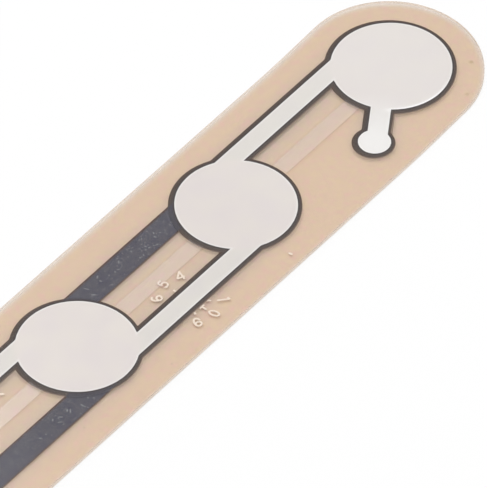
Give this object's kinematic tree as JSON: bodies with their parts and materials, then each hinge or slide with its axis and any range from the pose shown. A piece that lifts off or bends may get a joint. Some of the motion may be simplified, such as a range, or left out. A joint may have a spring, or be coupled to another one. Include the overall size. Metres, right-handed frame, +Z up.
{
  "type": "force sensing resistor",
  "caption": "Flat laminated force sensing strip: a rounded tip, round printed pads joined by straight traces under clear film, a tan backing and a narrow connection tail.",
  "frame": {"origin": "middle of the rear face's bounding rectangle, on the face that lies on a surface", "axes": "+X along the strip towards the rounded tip, +Z up out of the pressing side, +Y across the strip"},
  "size_m": [0.1128, 0.0194, 0.0006],
  "materials": {
    "liner_paper": "satin tan liner paper",
    "rear_adhesive": "clear transfer adhesive",
    "bottom_film": "clear polyester film",
    "bottom_silver": "printed silver ink, satin",
    "bottom_carbon": "printed carbon ink, matt",
    "spacer_adhesive": "clear adhesive layer",
    "top_carbon": "printed carbon ink, matt",
    "top_silver": "printed silver ink, satin",
    "top_film": "clear glossy polyester film"
  },
  "bodies": {
    "root": {"release_liner": "liner_paper", "rear_adhesive": "rear_adhesive", "bottom_film": "bottom_film", "bottom_silver_print": "bottom_silver", "bottom_carbon_print": "bottom_carbon", "spacer_adhesive": "spacer_adhesive", "top_carbon_print": "top_carbon", "top_silver_print": "top_silver", "top_film": "top_film"}
  },
  "joints": []
}
